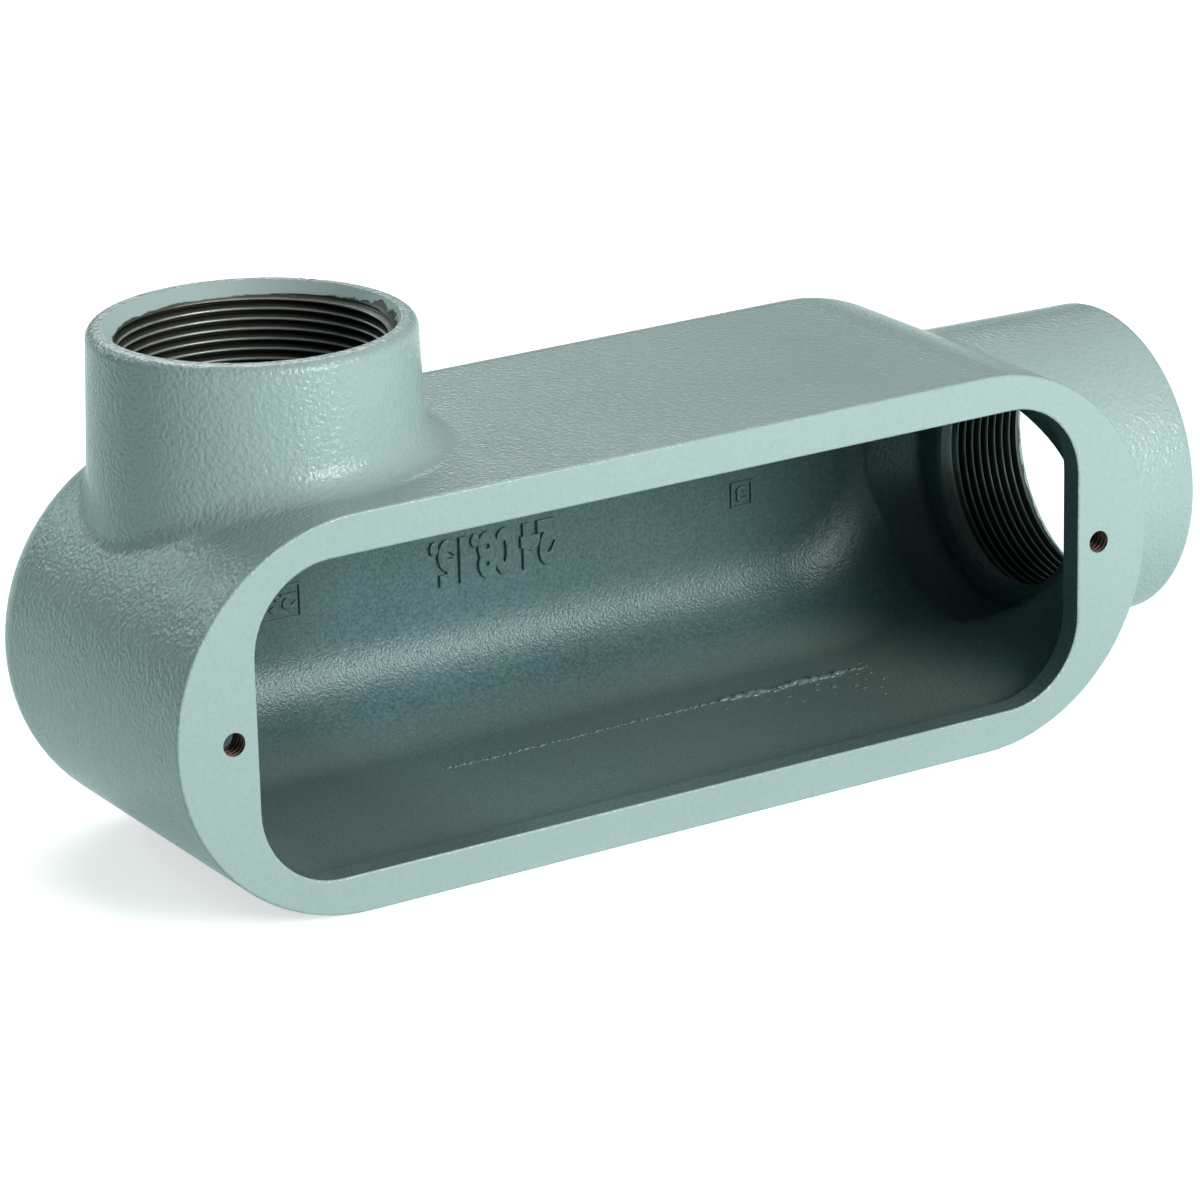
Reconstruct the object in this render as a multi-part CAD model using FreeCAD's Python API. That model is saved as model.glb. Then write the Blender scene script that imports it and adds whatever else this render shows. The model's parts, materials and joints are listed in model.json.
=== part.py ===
import FreeCAD, Part
import math
import os

# A cast iron conduit body: a long box, open on its cover face, with one tapped
# hub on its side and one on its end. It is one casting.
# The origin is the middle of the cover face, halfway between the two cover
# screw holes. X runs to the end hub, Y runs from the cover face into the box
# and Z runs up to the side hub. Sizes are in millimetres, angles in degrees.

# Bore of each hub, tapped 2 inch NPT, from its face inwards
thread_drill_diameter = 56.4
mouth_chamfer_width = 3.1
mouth_chamfer_angle = 52.0
thread_length = 20.8
stop_ring_height = 2.1
stop_ring_thickness = 3.8
stop_ring_chamfer = 1.5
neck_step = 2.4
neck_fillet = 4.6
mouth_diameter = thread_drill_diameter + 2 * mouth_chamfer_width
stop_ring_diameter = thread_drill_diameter - 2 * stop_ring_height
neck_diameter = thread_drill_diameter + 2 * neck_step

# Outside of the hubs, which taper a little from root to face
side_hub_rim_width = 3.5
side_hub_draft = 2.5
side_hub_length = 27.9
side_hub_from_rim_end = 48.2
end_hub_rim_width = 5.0
end_hub_draft = 1.0
end_hub_length = 26.0
hub_rim_radius = 2.3
hub_fillet = 6.9
hub_root_cover = 9.2
side_hub_diameter = mouth_diameter + 2 * side_hub_rim_width
end_hub_diameter = mouth_diameter + 2 * end_hub_rim_width
widest_hub_radius = max(side_hub_diameter, end_hub_diameter) / 2

# Box, as deep as the hubs and what stands in front of them and behind them
rim_length = 245.0
rim_height = 87.2
hub_to_cover_face = 14.2
hub_to_back = 1.1
side_wall = 5.7
back_wall = 5.0
back_edge_radius = 13.0
inner_edge_radius = 23.0
hub_axis_depth = hub_to_cover_face + widest_hub_radius
box_depth = hub_axis_depth + widest_hub_radius + hub_to_back
round_end_middle = rim_length / 2 - rim_height / 2
side_hub_offset = rim_length / 2 - side_hub_from_rim_end
side_hub_face = rim_height / 2 + side_hub_length
end_hub_face = rim_length / 2 + end_hub_length

# Opening in the cover face, with the thin lip that stands in round it
end_band = 18.7
side_band = 8.8
opening_corner_radius = 18.4
lip_thickness = 5.4
opening_length = rim_length - 2 * end_band
opening_height = rim_height - 2 * side_band

# Cover screw holes, drilled for 1/4-20 UNC and this far beyond the opening
screw_beyond_opening = 5.7
screw_drill_diameter = 5.1
screw_spacing = opening_length + 2 * screw_beyond_opening

# How far a cut starts outside the metal, and how closely two places must agree
cut_overrun = 4.0
match_tolerance = 0.02


def point(x, y, z):
    return FreeCAD.Vector(x, y, z)


def on_plane(edge, axis, value):
    box = edge.BoundBox
    low = {"x": box.XMin, "y": box.YMin, "z": box.ZMin}[axis]
    high = {"x": box.XMax, "y": box.YMax, "z": box.ZMax}[axis]
    return max(abs(low - value), abs(high - value)) < match_tolerance


def obround_prism(length, height, y_start, y_end):
    radius = height / 2
    reach = length / 2 - radius
    right_top = point(reach, y_start, radius)
    right_low = point(reach, y_start, -radius)
    left_low = point(-reach, y_start, -radius)
    left_top = point(-reach, y_start, radius)
    outline = Part.Wire([
        Part.makeLine(left_top, right_top),
        Part.Arc(right_top, point(reach + radius, y_start, 0), right_low).toShape(),
        Part.makeLine(right_low, left_low),
        Part.Arc(left_low, point(-reach - radius, y_start, 0), left_top).toShape(),
    ])
    return Part.Face(outline).extrude(point(0, y_end - y_start, 0))


def box_outside():
    block = obround_prism(rim_length, rim_height, 0, box_depth)
    back_edges = [edge for edge in block.Edges if on_plane(edge, "y", box_depth)]
    return block.makeFillet(back_edge_radius, back_edges)


def box_inside():
    floor_depth = box_depth - back_wall
    hollow = obround_prism(rim_length - 2 * side_wall, rim_height - 2 * side_wall,
                           lip_thickness, floor_depth)
    floor_edges = [edge for edge in hollow.Edges if on_plane(edge, "y", floor_depth)]
    return hollow.makeFillet(inner_edge_radius, floor_edges)


def cover_opening():
    block = Part.makeBox(opening_length, lip_thickness + 2 * cut_overrun, opening_height,
                         point(-opening_length / 2, -cut_overrun, -opening_height / 2))
    corners = [edge for edge in block.Edges if edge.BoundBox.YLength > lip_thickness]
    return block.makeFillet(opening_corner_radius, corners)


# A hub is made about the Z axis with its face at the given height, then placed.
def turned(profile):
    points = [point(radius, 0, height) for radius, height in profile]
    face = Part.Face(Part.makePolygon(points + points[:1]))
    return face.revolve(point(0, 0, 0), point(0, 0, 1), 360)


def hub_outside(face_height, root_height, face_diameter, draft):
    face_radius = face_diameter / 2
    root_radius = face_radius + (face_height - root_height) * math.tan(math.radians(draft))
    hub = turned([(0, root_height), (root_radius, root_height),
                  (face_radius, face_height), (0, face_height)])
    rim = [edge for edge in hub.Edges if on_plane(edge, "z", face_height)]
    return hub.makeFillet(hub_rim_radius, rim)


# Where the box's round end lies under the edge of a hub this far from the end's middle.
def skin_height(hub_diameter, offset):
    edge = hub_diameter / 2 + offset
    return math.sqrt((rim_height / 2) ** 2 - edge ** 2)


def side_hub_root():
    off_round_end = side_hub_offset - round_end_middle
    return skin_height(side_hub_diameter, off_round_end) - hub_root_cover


def end_hub_root():
    return round_end_middle + skin_height(end_hub_diameter, 0) - hub_root_cover


def chamfer_depth():
    return mouth_chamfer_width * math.tan(math.radians(mouth_chamfer_angle))


def stop_ring_end(face_height):
    return face_height - chamfer_depth() - thread_length - stop_ring_thickness


def hub_bore(face_height):
    mouth_radius = mouth_diameter / 2
    drill_radius = thread_drill_diameter / 2
    ring_radius = stop_ring_diameter / 2
    neck_radius = neck_diameter / 2
    thread_start = face_height - chamfer_depth()
    thread_end = thread_start - thread_length
    ring_end = stop_ring_end(face_height)
    return turned([(0, face_height + cut_overrun), (mouth_radius, face_height + cut_overrun),
                   (mouth_radius, face_height), (drill_radius, thread_start),
                   (drill_radius, thread_end), (ring_radius, thread_end),
                   (ring_radius, ring_end + stop_ring_chamfer),
                   (ring_radius + stop_ring_chamfer, ring_end), (neck_radius, ring_end),
                   (neck_radius, ring_end - cut_overrun), (0, ring_end - cut_overrun)])


def hub_neck(face_height, start_height):
    length = stop_ring_end(face_height) - start_height
    return Part.makeCylinder(neck_diameter / 2, length, point(0, 0, start_height))


def to_side(shape):
    placed = shape.copy()
    placed.Placement = FreeCAD.Placement(point(-side_hub_offset, hub_axis_depth, 0),
                                         FreeCAD.Rotation())
    return placed


def to_end(shape):
    placed = shape.copy()
    placed.Placement = FreeCAD.Placement(point(0, hub_axis_depth, 0),
                                         FreeCAD.Rotation(point(0, 1, 0), 90))
    return placed


# A joint edge lies on both bodies' skins and is sharp, unlike a seam line.
def joint_edges(fused, first, second):
    found = []
    for edge in fused.Edges:
        span = edge.LastParameter - edge.FirstParameter
        samples = [edge.valueAt(edge.FirstParameter + span * share) for share in (0.2, 0.5, 0.8)]
        on_both = all(skin.distToShape(Part.Vertex(sample))[0] < match_tolerance
                      for sample in samples for skin in (first.Shells[0], second.Shells[0]))
        if on_both:
            found.append(edge)
    return found


def blend(first, second, radius):
    fused = first.fuse(second).removeSplitter()
    return fused.makeFillet(radius, joint_edges(fused, first, second))


def screw_hole(x):
    return Part.makeCylinder(screw_drill_diameter / 2, lip_thickness + 2 * cut_overrun,
                             point(x, -cut_overrun, 0), point(0, 1, 0))


def cast_body():
    side_hub = hub_outside(side_hub_face, side_hub_root(), side_hub_diameter, side_hub_draft)
    end_hub = hub_outside(end_hub_face, end_hub_root(), end_hub_diameter, end_hub_draft)
    skin = blend(box_outside(), to_side(side_hub), hub_fillet)
    skin = blend(skin, to_end(end_hub), hub_fillet)
    hollow = blend(box_inside(), to_side(hub_neck(side_hub_face, 0)), neck_fillet)
    hollow = blend(hollow, to_end(hub_neck(end_hub_face, round_end_middle)), neck_fillet)
    cuts = [cover_opening(), to_side(hub_bore(side_hub_face)), to_end(hub_bore(end_hub_face)),
            screw_hole(-screw_spacing / 2), screw_hole(screw_spacing / 2)]
    return skin.cut(hollow).cut(cuts).removeSplitter()


os.makedirs("parts", exist_ok=True)
cast_body().exportStep("parts/cast_body.step")
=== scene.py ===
import json
import math
import random
from functools import cached_property

import bmesh
import bpy
from mathutils import Matrix, Vector


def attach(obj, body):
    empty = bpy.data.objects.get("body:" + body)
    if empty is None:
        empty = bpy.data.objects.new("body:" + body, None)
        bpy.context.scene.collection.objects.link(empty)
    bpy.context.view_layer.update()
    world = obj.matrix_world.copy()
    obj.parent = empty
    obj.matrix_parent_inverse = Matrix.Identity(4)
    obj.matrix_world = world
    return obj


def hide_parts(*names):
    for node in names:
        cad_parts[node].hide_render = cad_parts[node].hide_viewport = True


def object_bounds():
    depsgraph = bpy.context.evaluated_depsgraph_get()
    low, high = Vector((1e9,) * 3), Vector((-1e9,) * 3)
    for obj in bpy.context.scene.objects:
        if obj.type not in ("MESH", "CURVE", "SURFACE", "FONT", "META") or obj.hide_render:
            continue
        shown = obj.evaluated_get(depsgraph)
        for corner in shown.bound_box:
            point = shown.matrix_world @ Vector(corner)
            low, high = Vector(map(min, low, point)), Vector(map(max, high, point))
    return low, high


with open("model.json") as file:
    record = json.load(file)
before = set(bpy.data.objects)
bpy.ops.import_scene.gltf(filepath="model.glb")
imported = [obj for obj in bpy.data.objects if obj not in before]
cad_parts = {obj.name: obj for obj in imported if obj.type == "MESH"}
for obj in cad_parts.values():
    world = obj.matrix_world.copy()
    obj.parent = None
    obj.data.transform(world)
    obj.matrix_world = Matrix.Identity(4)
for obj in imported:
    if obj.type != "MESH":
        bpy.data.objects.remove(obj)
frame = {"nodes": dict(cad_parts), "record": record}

cadLow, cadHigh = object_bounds()
mm = 0.001


# Shader sockets that take Python's own arithmetic, each sum adding its Math nodes

class Signal:
    def __init__(self, finish, socket):
        self.finish = finish
        self.socket = socket

    def sum(self, operation, first, second=None):
        inputs = {0: first}
        if second is not None:
            inputs[1] = second
        return self.finish.node("ShaderNodeMath", {"operation": operation}, inputs)

    def __add__(self, other):
        return self.sum("ADD", self, other)

    def __radd__(self, other):
        return self.sum("ADD", other, self)

    def __sub__(self, other):
        return self.sum("SUBTRACT", self, other)

    def __rsub__(self, other):
        return self.sum("SUBTRACT", other, self)

    def __mul__(self, other):
        return self.sum("MULTIPLY", self, other)

    def __rmul__(self, other):
        return self.sum("MULTIPLY", other, self)

    def __truediv__(self, other):
        return self.sum("DIVIDE", self, other)

    def __pow__(self, other):
        return self.sum("POWER", self, other)

    def highest(self, other):
        return self.sum("MAXIMUM", self, other)

    def root(self):
        return self.sum("SQRT", self)

    def size(self):
        return self.sum("ABSOLUTE", self)

    def ramp(self, low, high):  # 0 at low, 1 at high, straight between and clamped
        inputs = {0: self, 1: low, 2: high, 3: 0.0, 4: 1.0}
        return self.finish.node("ShaderNodeMapRange", {"clamp": True}, inputs)


# The nodes of one material, or of the world

class Finish:
    def __init__(self, owner):
        owner.use_nodes = True
        self.owner = owner
        self.tree = owner.node_tree
        self.tree.nodes.clear()

    # Any node: its type, its settings, then the values or links of its sockets
    def node(self, kind, settings=None, inputs=None, output=0):
        made = self.tree.nodes.new(kind)
        for name, value in (settings or {}).items():
            if name == "stops":
                self.setStops(made.color_ramp, value)
            else:
                setattr(made, name, value)
        for name, value in (inputs or {}).items():
            if isinstance(value, Signal):
                self.tree.links.new(value.socket, made.inputs[name])
            else:
                made.inputs[name].default_value = value
        return Signal(self, made.outputs[output]) if len(made.outputs) else None

    def setStops(self, ramp, stops):
        while len(ramp.elements) < len(stops):
            ramp.elements.new(0.5)
        for element, (position, tone) in zip(ramp.elements, stops):
            element.position = position
            element.color = tone

    @cached_property
    def place(self):
        return self.node("ShaderNodeTexCoord", output="Object")

    @cached_property
    def axes(self):
        parts = self.node("ShaderNodeSeparateXYZ", {}, {0: self.place}).socket.node
        return [Signal(self, socket) for socket in parts.outputs]

    def noise(self, scale, detail=2.0, roughness=0.5):
        inputs = {"Vector": self.place, "Scale": scale, "Detail": detail, "Roughness": roughness}
        return self.node("ShaderNodeTexNoise", {}, inputs)

    def mixColour(self, factor, first, second):
        settings = {"data_type": "RGBA"}
        return self.node("ShaderNodeMix", settings, {0: factor, 6: first, 7: second}, output=2)

    def bump(self, height, distance):
        return self.node("ShaderNodeBump", {}, {"Height": height, "Distance": distance})

    def surface(self, inputs):
        shader = self.node("ShaderNodeBsdfPrincipled", {}, inputs)
        self.node("ShaderNodeOutputMaterial", {}, {"Surface": shader})
        return self.owner


def newFinish(name):
    return Finish(bpy.data.materials.new(name))


# A colour given in 0 to 255, as the renderer's linear light
def colour(red, green, blue):
    parts = [part / 255 for part in (red, green, blue)]
    linear = [part / 12.92 if part <= 0.04045 else ((part + 0.055) / 1.055) ** 2.4 for part in parts]
    return (*linear, 1.0)


# Places that the record gives: the hubs' faces and axes, and the cover screws

mounts = {mount["name"]: mount for mount in frame["record"]["mounts"]}
hubDepth = mounts["side_hub"]["pos_m"][1]
sideHubX = mounts["side_hub"]["pos_m"][0]
roundEndMiddle = cadLow.z - cadLow.x      # how far along X the straight sides reach
wireSpineDepth = hubDepth - 3 * mm


def hubFrames():
    side = Vector((sideHubX, hubDepth, cadHigh.z))
    end = Vector((cadHigh.x, hubDepth, 0))
    quarterTurn = Matrix.Rotation(math.radians(90), 4, "Y")
    return {"sideHub": Matrix.Translation(side), "endHub": Matrix.Translation(end) @ quarterTurn}


def screwPlaces():
    half = mounts["cover_screws"]["dims"]["spacing_x_mm"] / 2 * mm
    return [Vector((-half, 0, 0)), Vector((half, 0, 0))]


# The casting: a merged copy of the CAD node, with its cover face's edges rounded
# and its smooth bores taken out, so that threaded ones can stand there

castingLook = {
    "edgeRounding": 0.55,      # mm, on the cover face's outer edge and round its opening
    "edgeSegments": 3,
    "screwClearance": 4.0,     # mm; how far from a screw hole's middle that rounding keeps
    "sharpAngle": 42.0,        # degrees; flatter edges are shaded smooth
    "flatAngle": 0.05,         # degrees; triangles that differ less are one flat face
    "weld": 0.001,             # mm
    "facetSag": 0.4,           # mm; a facet's middle lies inside its circle by less than this
    "margin": 0.1,             # mm, round the faces that are taken out
    "backWall": 5.0,           # mm
}
floorDepth = cadHigh.y - castingLook["backWall"] * mm


# A face of a hub's drilled wall or lead-in cone, which stand steeper than the faces at their ends
def isBoreFace(face, toHub):
    local = toHub @ face.calc_center_median()
    radius, depth = math.hypot(local.x, local.y) / mm, -local.z / mm
    steep = abs((toHub.to_3x3() @ face.normal).z) < 0.9
    within = boreLook["drillRadius"] - castingLook["facetSag"] < radius < boreLook["mouthRadius"]
    return steep and within and 0.01 < depth < boreDepth() + castingLook["margin"]


def isScrewFace(face, place):
    away = face.calc_center_median() - place
    reach = (screwLook["crestRadius"] + castingLook["margin"]) * mm
    return math.hypot(away.x, away.z) < reach and abs(face.normal.y) < 0.5


# Whether a face looks at the wires' way through the box, rather than out of the casting
def isInside(face):
    centre = face.calc_center_median()
    spine = Vector((max(-roundEndMiddle, min(roundEndMiddle, centre.x)), wireSpineDepth, 0))
    if centre.z > -cadLow.z:
        spine = Vector((sideHubX, hubDepth, centre.z))
    if centre.x > -cadLow.x:
        spine = Vector((centre.x, hubDepth, 0))
    return (spine - centre).dot(face.normal) > 0


def isCoverFace(face):
    return face.normal.y < -0.99 and abs(face.calc_center_median().y) < 0.01 * mm


# The cover face's outer edge and the edge of its opening, without the screw holes' edges
def coverEdges(bm):
    clearance = castingLook["screwClearance"] * mm
    found = []
    for edge in bm.edges:
        onCover = [isCoverFace(face) for face in edge.link_faces]
        middle = (edge.verts[0].co + edge.verts[1].co) / 2
        nearScrew = any((middle - place).length < clearance for place in screwPlaces())
        if any(onCover) and not all(onCover) and not nearScrew:
            found.append(edge)
    return found


def makeCasting(finishes):
    bm = bmesh.new()
    bm.from_mesh(frame["nodes"]["cast_body"].data)
    bmesh.ops.remove_doubles(bm, verts=bm.verts, dist=castingLook["weld"] * mm)

    # The triangles of each flat stretch become one face, so that the bevel runs clean
    flat = math.radians(castingLook["flatAngle"])
    bmesh.ops.dissolve_limit(bm, angle_limit=flat, verts=bm.verts, edges=bm.edges)
    bmesh.ops.bevel(
        bm, geom=coverEdges(bm), offset=castingLook["edgeRounding"] * mm, offset_type="OFFSET",
        segments=castingLook["edgeSegments"], profile=0.5, affect="EDGES", material=-1,
        clamp_overlap=True, loop_slide=False,
    )
    gone = []
    for toWorld in hubFrames().values():
        toHub = toWorld.inverted()
        gone += [face for face in bm.faces if isBoreFace(face, toHub)]
    for place in screwPlaces():
        gone += [face for face in bm.faces if isScrewFace(face, place)]
    bmesh.ops.delete(bm, geom=list(set(gone)), context="FACES")

    for face in bm.faces:
        face.material_index = 1 if isCoverFace(face) else 2 if isInside(face) else 0
    return finishPiece("castBody", bm, finishes, castingLook["sharpAngle"], replaced="cast_body")


def finishPiece(name, bm, finishes, sharpAngle, replaced=None):
    for face in bm.faces:
        face.smooth = True
    mesh = bpy.data.meshes.new(name)
    bm.to_mesh(mesh)
    bm.free()
    mesh.set_sharp_from_angle(angle=math.radians(sharpAngle))
    for finish in finishes:
        mesh.materials.append(finish)
    piece = bpy.data.objects.new(name, mesh)
    bpy.context.scene.collection.objects.link(piece)
    weighted = piece.modifiers.new("weighted", "WEIGHTED_NORMAL")
    weighted.keep_sharp = True
    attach(piece, "root")
    if replaced:
        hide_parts(replaced)
    print(name, len(mesh.polygons), "faces")
    return piece


# The two tapped bores: a taper thread that runs out into a painted lead-in cone

boreLook = {
    "mouthRadius": 31.3,       # mm, where the lead-in cone meets the hub's face
    "coneAngle": 52.0,         # degrees between the cone and the hub's face
    "drillRadius": 28.2,
    "rootRadius": 30.4,        # of the thread, at the hub's face
    "crestRadius": 28.65,
    "taper": 1 / 32,           # radius lost per length, into the hub
    "pitch": 2.209,
    "threadLength": 20.8,
    "startDepth": 1.4,         # where the thread begins to show, and how soon it is full
    "startRun": 2.2,
    "endDepth": 23.5,          # where it has faded out again
    "endRun": 4.5,
    "rootFlat": 0.2,
    "crestFlat": 0.4,
    "crestRound": 0.08,
    "flankSteps": 4,
    "stepsPerTurn": 96,
    "floorRadius": 27.6,       # mm, how far the floor reaches over the stop ring
    "lapWidth": 0.3,           # and the mouth under the hub's face
    "lapDrop": 0.03,
    "sharpAngle": 60.0,
}


def coneDepth():
    width = boreLook["mouthRadius"] - boreLook["drillRadius"]
    return width * math.tan(math.radians(boreLook["coneAngle"]))


def boreDepth():
    return coneDepth() + boreLook["threadLength"]


# One pitch of a thread's outline, root to root, as (radius, height)
def threadOutline(look):
    root, crest, pitch = look["rootRadius"], look["crestRadius"], look["pitch"]
    low = look["rootFlat"] / 2
    high = pitch / 2 - look["crestFlat"] / 2
    shares = [step / look["flankSteps"] for step in range(look["flankSteps"] + 1)]
    rising = [(root + (crest - root) * share, low + (high - low) * share) for share in shares]
    falling = [(radius, pitch - height) for radius, height in reversed(rising)]
    tip = (crest - look["crestRound"], pitch / 2)
    return [(root, 0.0), *rising, tip, *falling, (root, pitch)]


# A screw surface about Z, from well under the given length to above Z = 0
def threadSkin(look, length):
    pitch, steps = look["pitch"], look["stepsPerTurn"]
    bottom = -(length + 2 * pitch)
    bm = bmesh.new()
    verts = [bm.verts.new((radius * mm, 0, (bottom + height) * mm))
             for radius, height in threadOutline(look)]
    edges = [bm.edges.new(pair) for pair in zip(verts, verts[1:])]
    bmesh.ops.spin(
        bm, geom=verts + edges, cent=(0, 0, 0), axis=(0, 0, 1), dvec=(0, 0, pitch / steps * mm),
        angle=math.tau, steps=steps, use_merge=False, use_duplicate=False,
    )
    oneTurn = bm.verts[:] + bm.edges[:] + bm.faces[:]
    for turn in range(1, math.ceil(length / pitch) + 4):
        made = bmesh.ops.duplicate(bm, geom=oneTurn)
        bmesh.ops.translate(bm, verts=vertsOf(made), vec=(0, 0, turn * pitch * mm))
    bmesh.ops.remove_doubles(bm, verts=bm.verts, dist=0.005 * mm)
    return bm


def vertsOf(made):
    return [item for item in made["geom"] if isinstance(item, bmesh.types.BMVert)]


def setRadius(vert, radius):
    grow = radius * mm / math.hypot(vert.co.x, vert.co.y)
    vert.co.x *= grow
    vert.co.y *= grow


def cutBetween(bm, low, high):
    for height, side in ((high, 1), (low, -1)):
        bmesh.ops.bisect_plane(
            bm, geom=bm.verts[:] + bm.edges[:] + bm.faces[:], dist=0.0001 * mm,
            plane_co=(0, 0, height * mm), plane_no=(0, 0, side), clear_outer=True, clear_inner=False,
        )


# A flat collar from the open edge at this height to the given radius
def addCollar(bm, height, radius, drop=0.0):
    openEdges = [edge for edge in bm.edges if edge.is_boundary
                 and all(abs(vert.co.z / mm - height) < 0.01 for vert in edge.verts)]
    made = bmesh.ops.extrude_edge_only(bm, edges=openEdges)
    for vert in vertsOf(made):
        setRadius(vert, radius)
        vert.co.z -= drop * mm


# Turns the faces of a bore to its axis
def faceAxis(bm):
    bmesh.ops.recalc_face_normals(bm, faces=bm.faces)
    outward = 0.0
    for face in bm.faces:
        centre = face.calc_center_median()
        outward += face.normal.x * centre.x + face.normal.y * centre.y
    if outward > 0:
        bmesh.ops.reverse_faces(bm, faces=bm.faces)


def clamp(value):
    return max(0.0, min(1.0, value))


# The thread is laid on its taper, faded in and out, and kept outside the lead-in cone
def makeBore(name, toWorld, finish):
    look = boreLook
    bm = threadSkin(look, boreDepth())
    slope = 1 / math.tan(math.radians(look["coneAngle"]))
    for vert in bm.verts:
        depth = -vert.co.z / mm
        crest = look["crestRadius"] - depth * look["taper"]
        ridge = math.hypot(vert.co.x, vert.co.y) / mm - look["crestRadius"]
        begun = clamp((depth - look["startDepth"]) / look["startRun"])
        left = clamp((look["endDepth"] - depth) / look["endRun"])
        cone = look["mouthRadius"] - depth * slope
        setRadius(vert, max(crest + ridge * min(begun, left), cone))
    cutBetween(bm, -boreDepth(), 0)
    addCollar(bm, -boreDepth(), look["floorRadius"])
    addCollar(bm, 0, look["mouthRadius"] + look["lapWidth"], drop=look["lapDrop"])
    faceAxis(bm)
    bmesh.ops.transform(bm, matrix=toWorld, verts=bm.verts)
    return finishPiece(name, bm, [finish], look["sharpAngle"])


# The two tapped screw holes in the cover face

screwLook = {
    "rootRadius": 3.1,         # mm
    "crestRadius": 2.55,
    "pitch": 1.27,
    "length": 5.4,             # the lip's thickness
    "rootFlat": 0.12,
    "crestFlat": 0.2,
    "crestRound": 0.03,
    "flankSteps": 3,
    "stepsPerTurn": 48,
    "sharpAngle": 60.0,
}


def makeScrewHole(name, place, finish):
    look = screwLook
    bm = threadSkin(look, look["length"])
    cutBetween(bm, -look["length"], 0)
    addCollar(bm, -look["length"], look["crestRadius"])
    faceAxis(bm)
    toCover = Matrix.Translation(place) @ Matrix.Rotation(math.radians(90), 4, "X")
    bmesh.ops.transform(bm, matrix=toCover, verts=bm.verts)
    return finishPiece(name, bm, [finish], look["sharpAngle"])


# Raised figures cast on the floor of the box, upside down to someone at the cover face

figuresLook = {
    "figures": "24 08.15.",
    "height": 11.0,            # mm
    "length": 33.0,
    "raised": 0.9,
    "lowCorner": (18.0, 1.8),  # mm, x and z of the first figure's foot
}
markLooks = {                  # framed marks: x and z of the middle, then lengths and heights, mm
    "castMark": {
        "figures": "3", "middle": (68.9, -2.7), "frame": (6.0, 6.2), "type": (2.9, 3.8),
    },
    "castLabel": {
        "figures": "2608", "middle": (-56.5, -4.5), "frame": (17.0, 8.0), "type": (14.5, 4.0),
    },
}
markRelief = {"line": 0.5, "raised": 0.6}     # mm
typeLook = {                   # shares of the type's size, before it is scaled to its place
    "boldness": 0.042,         # added round each stroke
    "thickness": 0.08,
    "edgeRound": 0.018,
    "edgeSteps": 1,
    "curveSteps": 6,
    "weld": 0.0005,
    "sharpAngle": 40.0,
    "sunk": 0.02,              # mm
}


def raisedText(text, length, height, raised):
    curve = bpy.data.curves.new("figures", "FONT")
    curve.body = text
    curve.offset = typeLook["boldness"]
    curve.extrude = typeLook["thickness"]
    curve.bevel_depth = typeLook["edgeRound"]
    curve.bevel_resolution = typeLook["edgeSteps"]
    curve.resolution_u = typeLook["curveSteps"]
    holder = bpy.data.objects.new("figures", curve)
    bpy.context.scene.collection.objects.link(holder)
    bpy.context.view_layer.update()
    mesh = bpy.data.meshes.new_from_object(holder)
    bpy.data.objects.remove(holder)
    bm = bmesh.new()
    bm.from_mesh(mesh)
    bmesh.ops.remove_doubles(bm, verts=bm.verts, dist=typeLook["weld"])
    low = Vector([min(vert.co[axis] for vert in bm.verts) for axis in range(3)])
    high = Vector([max(vert.co[axis] for vert in bm.verts) for axis in range(3)])
    bmesh.ops.translate(bm, verts=bm.verts, vec=-low)
    span = high - low
    bmesh.ops.scale(
        bm, verts=bm.verts, vec=(length / span.x * mm, height / span.y * mm, raised / span.z * mm),
    )
    return bm


# Turns a drawing in the XY plane upside down and lays it on the floor of the box
def layOnFloor(bm, x, z):
    upsideDown = Matrix(((-1, 0, 0, 0), (0, 0, -1, 0), (0, -1, 0, 0), (0, 0, 0, 1)))
    foot = Vector((x * mm, floorDepth + typeLook["sunk"] * mm, z * mm))
    toFloor = Matrix.Translation(foot) @ upsideDown
    bmesh.ops.transform(bm, matrix=toFloor, verts=bm.verts)


def makeFigures(finish):
    look = figuresLook
    bm = raisedText(look["figures"], look["length"], look["height"], look["raised"])
    layOnFloor(bm, *look["lowCorner"])
    return finishPiece("castFigures", bm, [finish], typeLook["sharpAngle"])


# Small figures in a raised frame
def makeMark(name, look, finish):
    length, height = look["type"]
    bm = raisedText(look["figures"], length, height, markRelief["raised"])
    bmesh.ops.translate(bm, verts=bm.verts, vec=Vector((-length / 2, -height / 2, 0)) * mm)
    panel = bmesh.ops.create_grid(bm, x_segments=1, y_segments=1, size=mm / 2)
    bmesh.ops.scale(bm, verts=panel["verts"], vec=(*look["frame"], 1))
    middle = panel["verts"][0].link_faces[0]
    inset = bmesh.ops.inset_region(
        bm, faces=[middle], thickness=markRelief["line"] * mm,
        use_even_offset=True, use_boundary=True,
    )
    bmesh.ops.delete(bm, geom=[middle], context="FACES_ONLY")
    lifted = bmesh.ops.extrude_face_region(bm, geom=inset["faces"])
    bmesh.ops.translate(bm, verts=vertsOf(lifted), vec=(0, 0, markRelief["raised"] * mm))
    bmesh.ops.recalc_face_normals(bm, faces=bm.faces)
    layOnFloor(bm, *look["middle"])
    return finishPiece(name, bm, [finish], typeLook["sharpAngle"])


# The fine line that the core's two halves left on the lower inner wall, with pips of metal

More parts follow.
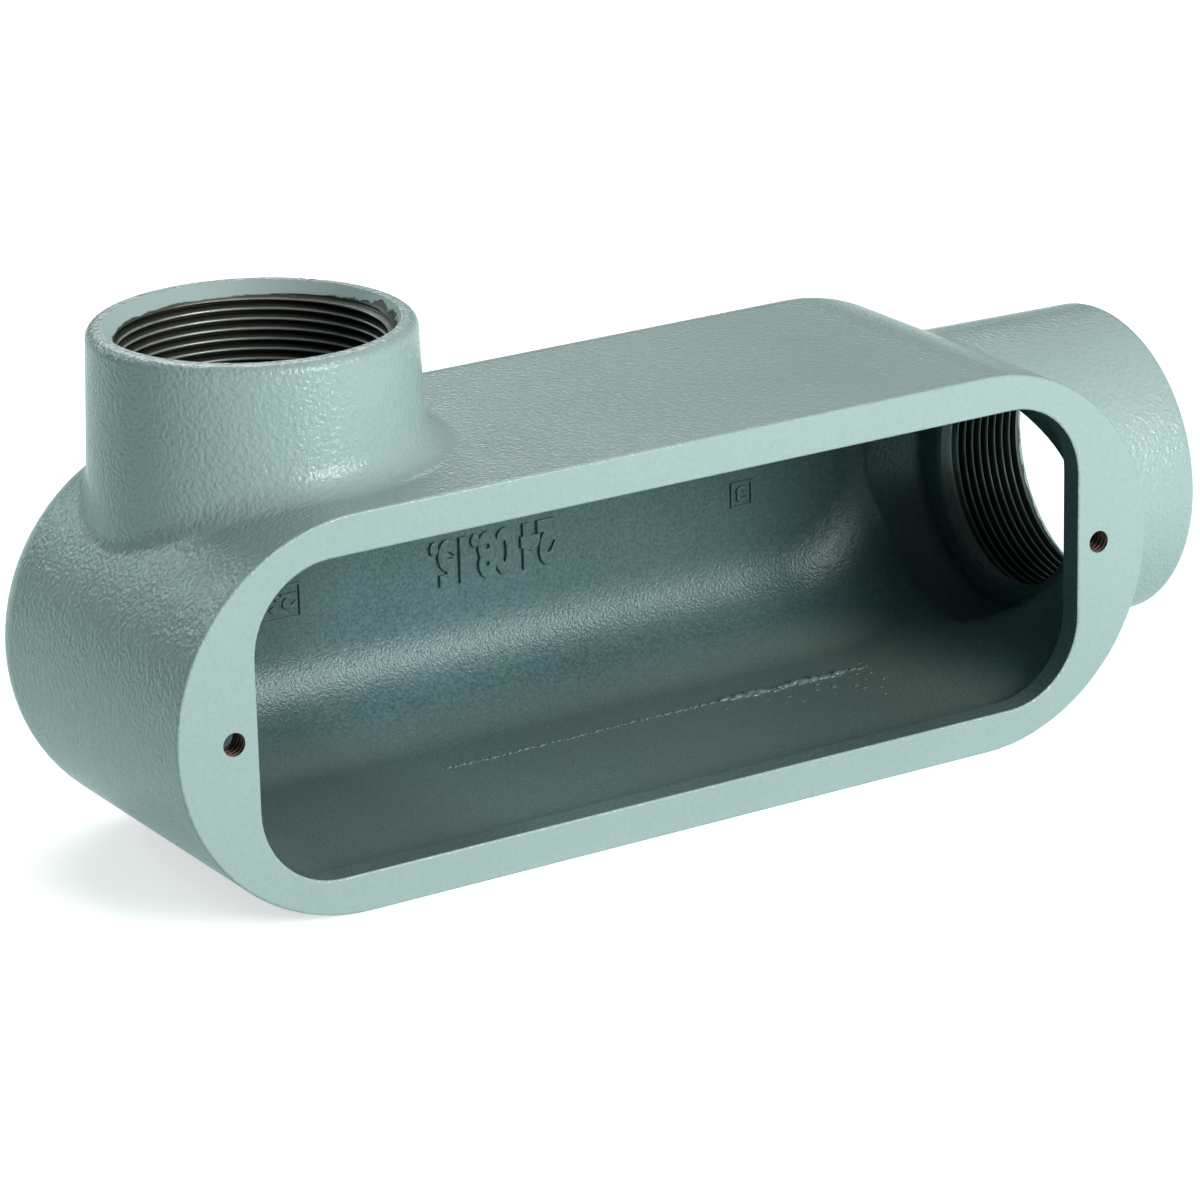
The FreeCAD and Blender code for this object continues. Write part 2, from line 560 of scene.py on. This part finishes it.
seamLook = {
    "start": -33.0,            # mm, x
    "end": 116.0,
    "depth": 49.4,             # mm, y
    "wall": -37.9,             # mm, z
    "wander": 0.4,             # mm to each side, in long waves
    "waveLength": 13.0,
    "seed": 7,
    "spacing": 0.7,
    "gap": (0.4, 1.5),         # shares of the spacing
    "pipRadius": (0.14, 0.42),
    "pipDrift": 0.2,
    "flatness": (0.5, 0.9),
    "stretch": (1.0, 2.6),
    "heavyStart": 42.0,        # where the pips grow together
    "heavyEnd": 74.0,
    "heavyRadius": (0.3, 1.0),
    "heavyDrift": 0.5,
    "strayCount": 80,          # pips round the line
    "strayMiddle": 82.0,
    "straySpread": (18.0, 11.5),
    "strayStart": 3.0,         # mm behind the line, from where they thin out to the front
    "strayRadius": (0.16, 0.5),
    "strayFlatness": (0.3, 0.6),
    "strayStretch": (1.0, 1.8),
    "strayEnd": 112.0,         # mm, x
    "strayDepths": (9.0, 60.0),     # mm, y
    "sharpAngle": 60.0,
}


def makePip(bm, x, y, radius, flatness, stretch):
    made = bmesh.ops.create_icosphere(bm, subdivisions=2, radius=radius * mm)
    bmesh.ops.scale(bm, verts=made["verts"], vec=(stretch, 1, flatness))
    bmesh.ops.translate(bm, verts=made["verts"], vec=Vector((x, y, seamLook["wall"])) * mm)


def makeSeam(finish):
    look = seamLook
    chance = random.Random(look["seed"])
    bm = bmesh.new()
    x = look["start"]
    while x < look["end"]:
        heavy = look["heavyStart"] < x < look["heavyEnd"]
        radius = chance.uniform(*look["heavyRadius" if heavy else "pipRadius"])
        wave = look["wander"] * math.sin(x / look["waveLength"])
        y = look["depth"] + (wave + chance.gauss(0, look["heavyDrift" if heavy else "pipDrift"]))
        flatness = chance.uniform(*look["flatness"])
        makePip(bm, x, y, radius, flatness, chance.uniform(*look["stretch"]))
        x += look["spacing"] * chance.uniform(*look["gap"])

    along, across = look["straySpread"]
    front, back = look["strayDepths"]
    for stray in range(look["strayCount"]):
        x = chance.gauss(look["strayMiddle"], along)
        y = look["depth"] + look["strayStart"] - abs(chance.gauss(0, across))
        if look["start"] < x < look["strayEnd"] and front < y < back:
            radius = chance.uniform(*look["strayRadius"])
            flatness = chance.uniform(*look["strayFlatness"])
            makePip(bm, x, y, radius, flatness, chance.uniform(*look["strayStretch"]))
    return finishPiece("coreSeam", bm, [finish], look["sharpAngle"])


# Paints and metals

paintLook = {
    "tone": colour(168, 189, 186),
    "toneDark": colour(157, 179, 176),
    "roughness": 0.17,
    "peelScale": 1000,         # per metre; the soft dimples of the paint
    "grainScale": 2400,        # the sand grain under it
    "peelHeight": 0.36,        # mm
    "grainHeight": 0.06,
    "cloudScale": 12.0,        # slow changes of its shade
    "speckle": 0.25,           # the share of fine specks in its shade
    "speckScale": 800,
    "calm": 0.4,               # the share of that relief left on the long flat sides
    "gloss": (0.86, 0.98, 1.0, 1.0),
}
coverPaintLook = dict(
    paintLook, roughness=0.4, peelHeight=0.06, grainHeight=0.08, speckle=0.6,
)
# painted shade: the cavity's paint is a darker copy of the outside paint, standing in for the less
# light that reaches inside
shadedInsidePaintLook = dict(
    paintLook, tone=colour(119, 150, 151), toneDark=colour(72, 101, 103), roughness=0.3,
    peelScale=1500, peelHeight=0.12, speckle=0.65, speckScale=1300,
    paintedShadeTone=colour(48, 66, 65), paintedShadeShare=0.68,     # painted shade: darker towards both ends
    paintedShadeRight=(-20, 105), paintedShadeLeft=(-34, -54), paintedShadeLeftShare=0.75,     # mm, x
    lowWallLightTone=colour(140, 152, 142), lowWallLightShare=0.36,  # painted light: lighter and warmer on the lower wall, which faces up
    lowWallLightHeight=(-32, -37),                           # mm, z
)


# How much relief the paint has here: full on the hubs and round ends, little on the long flat sides
def liveliness(finish, look):
    x, y, z = finish.axes
    boxTop = -cadLow.z
    onHub = z.ramp(boxTop + 0.8 * mm, boxTop + 5 * mm)
    onEnd = x.size().ramp(roundEndMiddle - 6 * mm, roundEndMiddle + 16 * mm)
    return onHub.highest(onEnd) * (1 - look["calm"]) + look["calm"]


# The cavity's paint: painted shade darkens it towards both ends, and painted light brightens the
# lower wall, which faces up
def shadedAndLitTone(finish, look, tone):
    x, y, z = finish.axes
    spans = (x, "paintedShadeRight"), (x, "paintedShadeLeft"), (z, "lowWallLightHeight")
    right, left, lower = [axis.ramp(look[span][0] * mm, look[span][1] * mm) for axis, span in spans]
    # painted shade, darker towards both ends of the cavity
    paintedShadeMix = right.highest(left * look["paintedShadeLeftShare"]) * look["paintedShadeShare"]
    tone = finish.mixColour(paintedShadeMix, tone, look["paintedShadeTone"])
    # painted light, lighter on the lower wall
    return finish.mixColour(lower * look["lowWallLightShare"], tone, look["lowWallLightTone"])


def paintFinish(name, look, calmFlats=False):
    finish = newFinish(name)
    clouds = finish.noise(look["cloudScale"], 3.0)
    specks = finish.noise(look["speckScale"], 3.0, 0.7)
    shade = (clouds * (1 - look["speckle"]) + specks * look["speckle"]).ramp(0.35, 0.65)
    peel = finish.noise(look["peelScale"], 2.0, 0.45)
    grain = finish.noise(look["grainScale"], 3.0, 0.6)
    height = peel * look["peelHeight"] + grain * look["grainHeight"]
    if calmFlats:
        height = height * liveliness(finish, look)
    tone = finish.mixColour(shade, look["toneDark"], look["tone"])
    if "paintedShadeTone" in look:
        tone = shadedAndLitTone(finish, look, tone)
    return finish.surface({
        "Base Color": tone,
        "Roughness": grain * 0.12 + (look["roughness"] - 0.06),
        "Specular Tint": look["gloss"],
        "Normal": finish.bump(height, mm),
    })


# Bare threads, coloured bright on their crests as a painted highlight and dark in their roots as
# painted shade, with the paint that reaches in over the lead-in cone
metalLook = {
    # painted highlight in the crest colour, painted shade in the root colour
    "crest": colour(180, 184, 176),
    "flank": colour(92, 95, 88),
    "root": colour(36, 38, 34),
    "metallic": 0.5,
    "roughness": 0.3,
    "grainScale": 1500.0,      # per metre
    "grainHeight": 0.02,       # mm
    "paintReach": 29.0,        # mm, the radius down to which the paint comes
    "paintRaggedness": 0.9,
    "raggedScale": 210.0,
    "paintPeel": 0.06,         # mm
    "scrape": 1.2,             # mm less paint on the cone's right
}
# painted shade: the end hub's threads are a darker copy of the same metal, for the less light that
# reaches into that bore
shadedEndMetalLook = dict(
    metalLook, crest=colour(84, 102, 97), flank=colour(42, 54, 50), root=colour(17, 25, 23),
)


def boreFinish(name, toWorld, look):
    finish = newFinish(name)
    x, y, z = finish.axes
    place = toWorld.translation
    if name.startswith("side"):
        across, down, depth = x - place.x, y - place.y, place.z - z
    else:
        across, down, depth = y - place.y, z - place.z, place.x - x
    radius = (across ** 2 + down ** 2).root() * (1 / mm)
    depth = depth * (1 / mm)
    ragged = finish.noise(look["raggedScale"], 4.0, 0.6) - 0.5
    grain = finish.noise(look["grainScale"], 3.0, 0.6)
    low = (radius + depth * boreLook["taper"]).ramp(boreLook["crestRadius"], boreLook["rootRadius"])
    # painted light: crests coloured bright as if lit, roots dark as if in shade
    stops = [(0.0, look["crest"]), (0.14, look["flank"]), (0.8, look["root"])]
    crestLitRootShaded = finish.node("ShaderNodeValToRGB", {"stops": stops}, {"Fac": low + ragged * 0.25})
    slope = 1 / math.tan(math.radians(boreLook["coneAngle"]))
    cone = boreLook["mouthRadius"] - depth * slope
    onCone = (radius - cone).size().ramp(0.14, 0.04)
    right = ((across - down * 0.6) / radius * (0.85 / mm)).ramp(0.4, 0.9)
    edge = cone + ragged * (right * 3 + look["paintRaggedness"]) - right * look["scrape"]
    painted = onCone * edge.ramp(look["paintReach"], look["paintReach"] + 0.2)
    peel = finish.noise(paintLook["peelScale"], 2.0, 0.45)
    return finish.surface({
        "Base Color": finish.mixColour(painted, crestLitRootShaded, paintLook["tone"]),
        "Metallic": look["metallic"] - painted * look["metallic"],
        "Roughness": grain * 0.1 + low * 0.14 + look["roughness"],
        "Normal": finish.bump(peel * painted * look["paintPeel"] + grain * look["grainHeight"], mm),
    })


screwMetalLook = {
    "crest": colour(172, 132, 112),
    "rust": colour(118, 92, 80),
    "root": colour(30, 26, 23),
    "rustScale": 520.0,        # per metre
    "rootDepth": 0.3,          # mm under the crest, from where the root's colour is full
    "metallic": 0.4,
    "roughness": 0.42,
    "grainScale": 2000.0,
    "grainHeight": 0.03,       # mm
}


def screwFinish(look):
    finish = newFinish("screwThread")
    grain = finish.noise(look["grainScale"], 3.0, 0.6)
    rust = finish.noise(look["rustScale"], 3.0).ramp(0.35, 0.65)
    x, y, z = finish.axes
    radius = ((x.size() - screwPlaces()[1].x) ** 2 + z ** 2).root() * (1 / mm)
    low = radius.ramp(screwLook["crestRadius"], screwLook["crestRadius"] + look["rootDepth"])
    crest = finish.mixColour(rust, look["crest"], look["rust"])
    return finish.surface({
        "Base Color": finish.mixColour(low, crest, look["root"]),
        "Metallic": look["metallic"],
        "Roughness": look["roughness"] + grain * 0.2,
        "Normal": finish.bump(grain * look["grainHeight"], mm),
    })


# Floor, light and camera

stageLook = {
    "floor": colour(240, 240, 240),
    "floorShade": colour(204, 222, 219),     # what it throws back at the part
    "floorGlow": 0.7,          # added for the camera
    "floorGloss": 0.42,        # added in reflections
    "worldLight": 0.12,
    "worldTint": (0.85, 1.0, 0.98, 1.0),
    "worldGloss": 0.1,         # the room in reflections
    "floorSize": 10.0,         # m
    "lampDistance": 1.3,       # m, from the middle of the box
}
white = (1.0, 1.0, 1.0)
mint = (0.8, 1.0, 0.97)
lightLook = {                  # direction from the box, size in metres, level and tint
    "key": ((0.26, -0.9, 0.33), 0.6, 0.85, white),
    "top": ((0.2, 0.68, 0.7), 0.9, 0.52, white),
    "fill": ((0.1, -0.58, 0.75), 0.8, 0.14, white),
    "back": ((-0.4, 0.8, 0.4), 0.45, 0.17, mint),
    "left": ((-0.95, -0.15, 0.1), 0.8, 0.02, mint),
}
cameraLook = {
    "place": (-0.57774, -0.89517, 0.37944),   # m
    "heading": 31.85,          # degrees to the right of the part's +Y
    "down": 19.17,
    "roll": -1.34,
    "lens": 159.6,             # mm, on the 36 mm sensor
}


def glowing(finish, surface, strength, tint):
    glow = finish.node("ShaderNodeEmission", {}, {"Color": tint, "Strength": strength})
    return finish.node("ShaderNodeAddShader", {}, {0: surface, 1: glow})


# The floor is white to the camera, with other shades in reflections and in the light it throws back
def makeFloor():
    bm = bmesh.new()
    bmesh.ops.create_grid(bm, x_segments=1, y_segments=1, size=stageLook["floorSize"] / 2)
    bmesh.ops.translate(bm, verts=bm.verts, vec=(0, 0, cadLow.z))
    mesh = bpy.data.meshes.new("floor")
    bm.to_mesh(mesh)
    bm.free()
    floor = bpy.data.objects.new("floor", mesh)
    bpy.context.scene.collection.objects.link(floor)
    finish = newFinish("floorPaper")
    camera = finish.node("ShaderNodeLightPath", output="Is Camera Ray")
    glossy = finish.node("ShaderNodeLightPath", output="Is Glossy Ray")
    shade = finish.node("ShaderNodeBsdfDiffuse", {}, {"Color": stageLook["floorShade"]})
    gloss = glowing(finish, shade, stageLook["floorGloss"], stageLook["worldTint"])
    paper = finish.node("ShaderNodeBsdfDiffuse", {}, {"Color": stageLook["floor"]})
    brightPaper = glowing(finish, paper, stageLook["floorGlow"], stageLook["floor"])
    reflected = finish.node("ShaderNodeMixShader", {}, {0: glossy, 1: shade, 2: gloss})
    shown = finish.node("ShaderNodeMixShader", {}, {0: camera, 1: reflected, 2: brightPaper})
    finish.node("ShaderNodeOutputMaterial", {}, {"Surface": shown})
    mesh.materials.append(finish.owner)
    print("floor", stageLook["floorSize"], "m")


# The room is white to the camera, a soft mint light to the part and dim in its reflections
def lightWorld():
    world = Finish(bpy.data.worlds.new("studio"))
    soft, plain, dim = [
        world.node("ShaderNodeBackground", {}, {"Color": tint, "Strength": strength})
        for tint, strength in (
            (stageLook["worldTint"], stageLook["worldLight"]),
            ((*white, 1.0), 1.0),
            ((*white, 1.0), stageLook["worldGloss"]),
        )
    ]
    camera = world.node("ShaderNodeLightPath", output="Is Camera Ray")
    glossy = world.node("ShaderNodeLightPath", output="Is Glossy Ray")
    reflected = world.node("ShaderNodeMixShader", {}, {0: glossy, 1: soft, 2: dim})
    shown = world.node("ShaderNodeMixShader", {}, {0: camera, 1: reflected, 2: plain})
    world.node("ShaderNodeOutputWorld", {}, {"Surface": shown})
    bpy.context.scene.world = world.owner
    print("world, soft light", stageLook["worldLight"])


# A round lamp that gives a white surface facing it this level of light, 1 being white
def addLamp(name, towards, size, level, tint):
    distance = stageLook["lampDistance"]
    lamp = bpy.data.lights.new(name, "AREA")
    lamp.color = tint
    lamp.shape = "DISK"
    lamp.size = size
    lamp.energy = level * math.pi ** 2 * distance ** 2
    holder = bpy.data.objects.new(name, lamp)
    bpy.context.scene.collection.objects.link(holder)
    aim = Vector(towards).normalized()
    holder.location = Vector((0, hubDepth, 0)) + aim * distance
    holder.rotation_euler = (-aim).to_track_quat("-Z", "Y").to_euler()
    print("lamp", name, "level", level)


def addCamera():
    look = cameraLook
    data = bpy.data.cameras.new("camera")
    data.lens = look["lens"]
    data.sensor_width = 36
    camera = bpy.data.objects.new("camera", data)
    bpy.context.scene.collection.objects.link(camera)
    turn = Matrix.Rotation(-math.radians(look["heading"]), 4, "Z")
    tilt = Matrix.Rotation(math.radians(90 - look["down"]), 4, "X")
    roll = Matrix.Rotation(math.radians(look["roll"]), 4, "Z")
    camera.matrix_world = Matrix.Translation(look["place"]) @ turn @ tilt @ roll
    bpy.context.scene.camera = camera
    print("camera, lens", look["lens"], "mm")


# The part

outside = paintFinish("outsidePaint", paintLook, calmFlats=True)
cover = paintFinish("coverFacePaint", coverPaintLook)
inside = paintFinish("insidePaint", shadedInsidePaintLook)
makeCasting([outside, cover, inside])
for hub, toWorld in hubFrames().items():
    threadMetal = shadedEndMetalLook if hub == "endHub" else metalLook
    makeBore(hub + "Bore", toWorld, boreFinish(hub + "Metal", toWorld, threadMetal))
for side, place in zip(("left", "right"), screwPlaces()):
    makeScrewHole(side + "ScrewThread", place, screwFinish(screwMetalLook))
makeFigures(inside)
for mark, markLook in markLooks.items():
    makeMark(mark, markLook, inside)
makeSeam(inside)

# The studio

makeFloor()
lightWorld()
for lampName, lampLook in lightLook.items():
    addLamp(lampName, *lampLook)
addCamera()
bpy.context.scene.view_settings.view_transform = "Standard"
